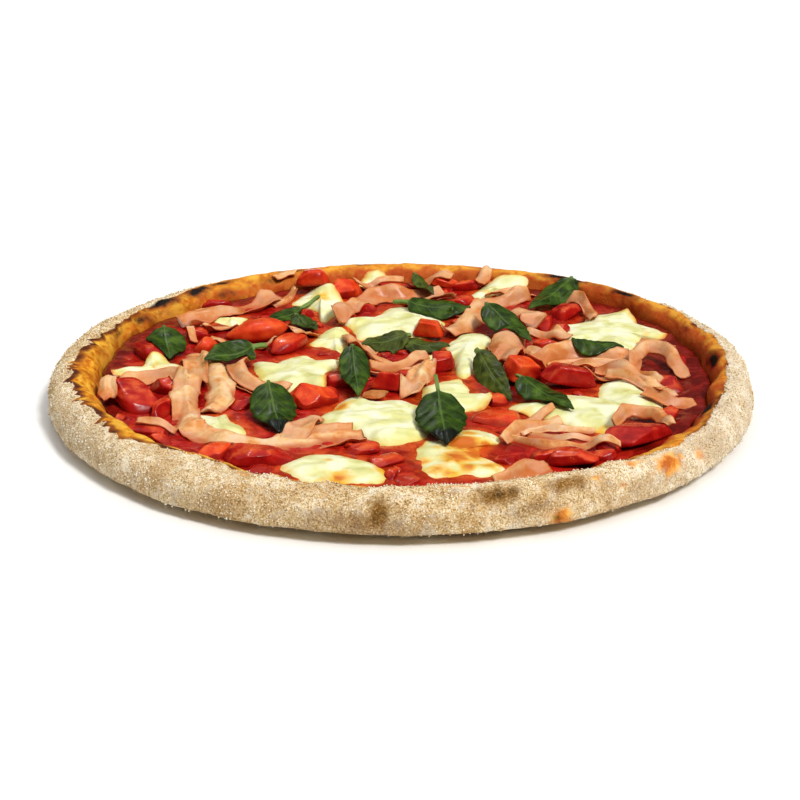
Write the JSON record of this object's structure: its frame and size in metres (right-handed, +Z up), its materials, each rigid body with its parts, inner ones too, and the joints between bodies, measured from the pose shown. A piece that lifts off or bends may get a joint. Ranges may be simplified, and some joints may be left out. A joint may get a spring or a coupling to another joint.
{
  "type": "pizza with ham, tomato, mozzarella and basil",
  "caption": "Round baked pizza with a floured raised rim, tomato sauce, melted mozzarella patches, ham strips, tomato pieces and basil leaves.",
  "frame": {"origin": "centre of the flat underside of the crust", "axes": "+Z up from the table; +Y to the back of the picture's view; +X to its right"},
  "size_m": [0.3206, 0.3205, 0.0241],
  "materials": {
    "crust": "matte, floured",
    "sauce": "wet",
    "mozzarella": "soft sheen",
    "tomato": "wet",
    "ham": "moist",
    "basil": "soft sheen"
  },
  "bodies": {
    "root": {"basil_back_centre": "basil", "basil_back_left": "basil", "basil_back_right": "basil", "basil_back_small": "basil", "basil_centre": "basil", "basil_far_back": "basil", "basil_front": "basil", "basil_left": "basil", "basil_left_front": "basil", "basil_left_inner": "basil", "basil_right": "basil", "basil_right_folded": "basil", "basil_right_long": "basil", "basil_right_small": "basil", "basil_sprig_left": "basil", "basil_sprig_right": "basil", "crust": "crust", "ham_back_arch": "ham", "ham_back_left": "ham", "ham_back_right": "ham", "ham_beside_leaf": "ham", "ham_beside_left_cheese": "ham", "ham_centre": "ham", "ham_front_edge": "ham", "ham_front_right_arch": "ham", "ham_front_right_strands": "ham", "ham_left_band": "ham", "ham_left_loop": "ham", "ham_left_sweep": "ham", "ham_middle_loop": "ham", "ham_right_arch": "ham", "ham_right_edge": "ham", "ham_right_fork": "ham", "ham_roll": "ham", "mozzarella_back": "mozzarella", "mozzarella_back_right": "mozzarella", "mozzarella_centre": "mozzarella", "mozzarella_far_left": "mozzarella", "mozzarella_far_right": "mozzarella", "mozzarella_front": "mozzarella", "mozzarella_front_right": "mozzarella", "mozzarella_left": "mozzarella", "mozzarella_left_edge": "mozzarella", "mozzarella_left_front": "mozzarella", "mozzarella_middle": "mozzarella", "mozzarella_right": "mozzarella", "mozzarella_under_leaf": "mozzarella", "sauce": "sauce", "tomato_chunk_far_left": "tomato", "tomato_chunk_front": "tomato", "tomato_chunk_front_right": "tomato", "tomato_chunk_right": "tomato", "tomato_dice_centre": "tomato", "tomato_dice_middle": "tomato", "tomato_dice_on_cheese": "tomato", "tomato_dice_right": "tomato", "tomato_half": "tomato", "tomato_wedge_back": "tomato", "tomato_wedge_centre": "tomato", "tomato_wedge_left": "tomato"}
  },
  "joints": []
}
